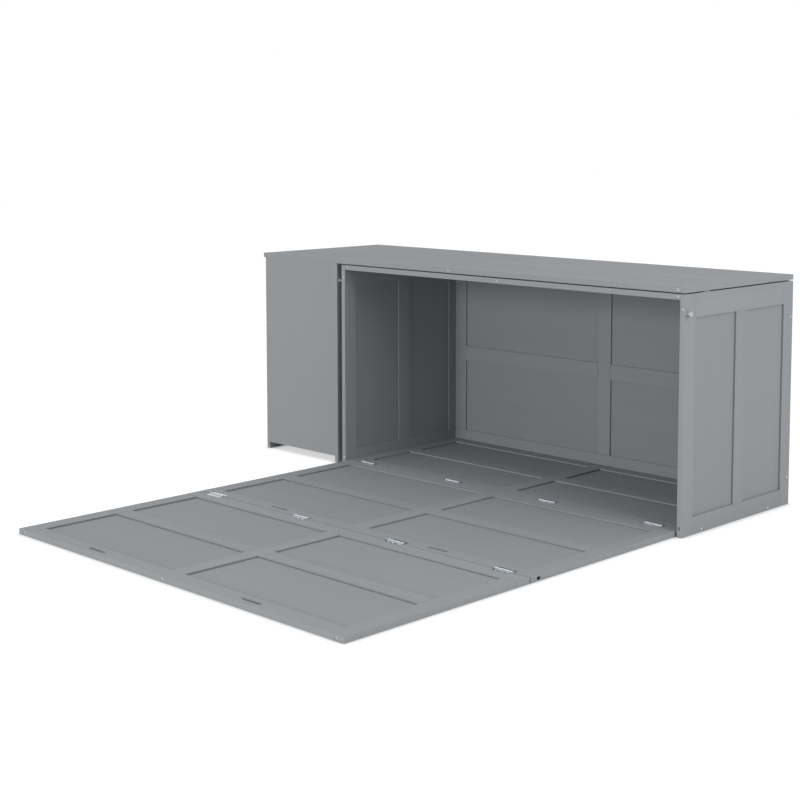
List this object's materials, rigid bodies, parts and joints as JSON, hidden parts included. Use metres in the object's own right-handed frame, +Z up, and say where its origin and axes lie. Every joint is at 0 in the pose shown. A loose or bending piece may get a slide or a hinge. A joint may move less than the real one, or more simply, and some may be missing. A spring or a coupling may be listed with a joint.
{
  "type": "cabinet wall bed",
  "caption": "Low cabinet bed with a folding floor platform, side lock pins and a swivelling desk top on a shelf unit.",
  "frame": {"origin": "centre of the cabinet's footprint, on the floor, at the underside of the cabinet floor", "axes": "+X along the cabinet's front to the right, +Y to the back, +Z up; the platform folds out towards -Y"},
  "size_m": [2.048, 2.0672, 0.795],
  "materials": {
    "paint": "satin grey paint on wood boards",
    "zinc": "bright zinc plate",
    "brass": "yellow plated steel and brass",
    "nylon": "plain nylon"
  },
  "bodies": {
    "cabinet": {"floor_rails": "paint", "floor_stiles": "paint", "floor_panels": "paint", "left_wall_stiles": "paint", "left_wall_rails": "paint", "left_wall_panels": "paint", "right_wall_stiles": "paint", "right_wall_rails": "paint", "right_wall_panels": "paint", "back_wall_rails": "paint", "back_wall_stiles": "paint", "back_wall_panels": "paint", "lower_top_rails": "paint", "lower_top_stiles": "paint", "lower_top_panels": "paint", "cabinet_frame_bolts": "zinc", "wall_bolts": "zinc", "lower_top_screws": "zinc", "lock_bushes": "brass", "floor_hinge_leaves": "zinc", "floor_hinge_pins": "zinc", "floor_hinge_screws": "zinc", "slide_pads": "nylon", "swivel_plate": "zinc", "swivel_plate_screws": "zinc"},
    "middle_board": {"middle_rails": "paint", "middle_stiles": "paint", "middle_panels": "paint", "middle_frame_bolts": "zinc", "middle_rear_leaves": "zinc", "middle_front_leaves": "zinc", "middle_hinge_screws": "zinc", "foot_hinge_pins": "zinc"},
    "foot_board": {"foot_rails": "paint", "foot_stiles": "paint", "foot_panels": "paint", "foot_frame_bolts": "zinc", "foot_hinge_leaves": "zinc", "foot_hinge_screws": "zinc"},
    "left_lock": {"left_lock_pin": "zinc", "left_lock_knob": "zinc"},
    "right_lock": {"right_lock_pin": "zinc", "right_lock_knob": "zinc"},
    "desk": {"desk_rails": "paint", "desk_stiles": "paint", "desk_panels": "paint", "desk_frame_bolts": "zinc", "swivel_bush": "brass", "shelf_plain_panel": "paint", "shelf_left_side": "paint", "shelf_right_side": "paint", "shelf_boards": "paint", "shelf_bottom": "paint", "shelf_panel_screws": "brass", "shelf_side_screws": "zinc", "shelf_brackets": "zinc", "shelf_bracket_screws": "zinc", "shelf_glides": "nylon"}
  },
  "joints": [
    {"name": "middle_fold", "type": "hinge", "parent": "cabinet", "child": "middle_board", "pos_m": [0, -0.299, 0.021], "axis": [-1, 0, 0], "range_deg": [0, 86.5]},
    {"name": "foot_fold", "type": "hinge", "parent": "middle_board", "child": "foot_board", "pos_m": [0, -1.027, 0.021], "axis": [-1, 0, 0], "range_deg": [0, 180]},
    {"name": "left_lock_slide", "type": "slide", "parent": "cabinet", "child": "left_lock", "axis": [1, 0, 0], "range_m": [0, 0.013]},
    {"name": "right_lock_slide", "type": "slide", "parent": "cabinet", "child": "right_lock", "axis": [-1, 0, 0], "range_m": [0, 0.013]},
    {"name": "desk_swivel", "type": "hinge", "parent": "cabinet", "child": "desk", "pos_m": [0.756, -0.18, 0.773], "axis": [0, 0, 1], "range_deg": [0, 10]}
  ]
}
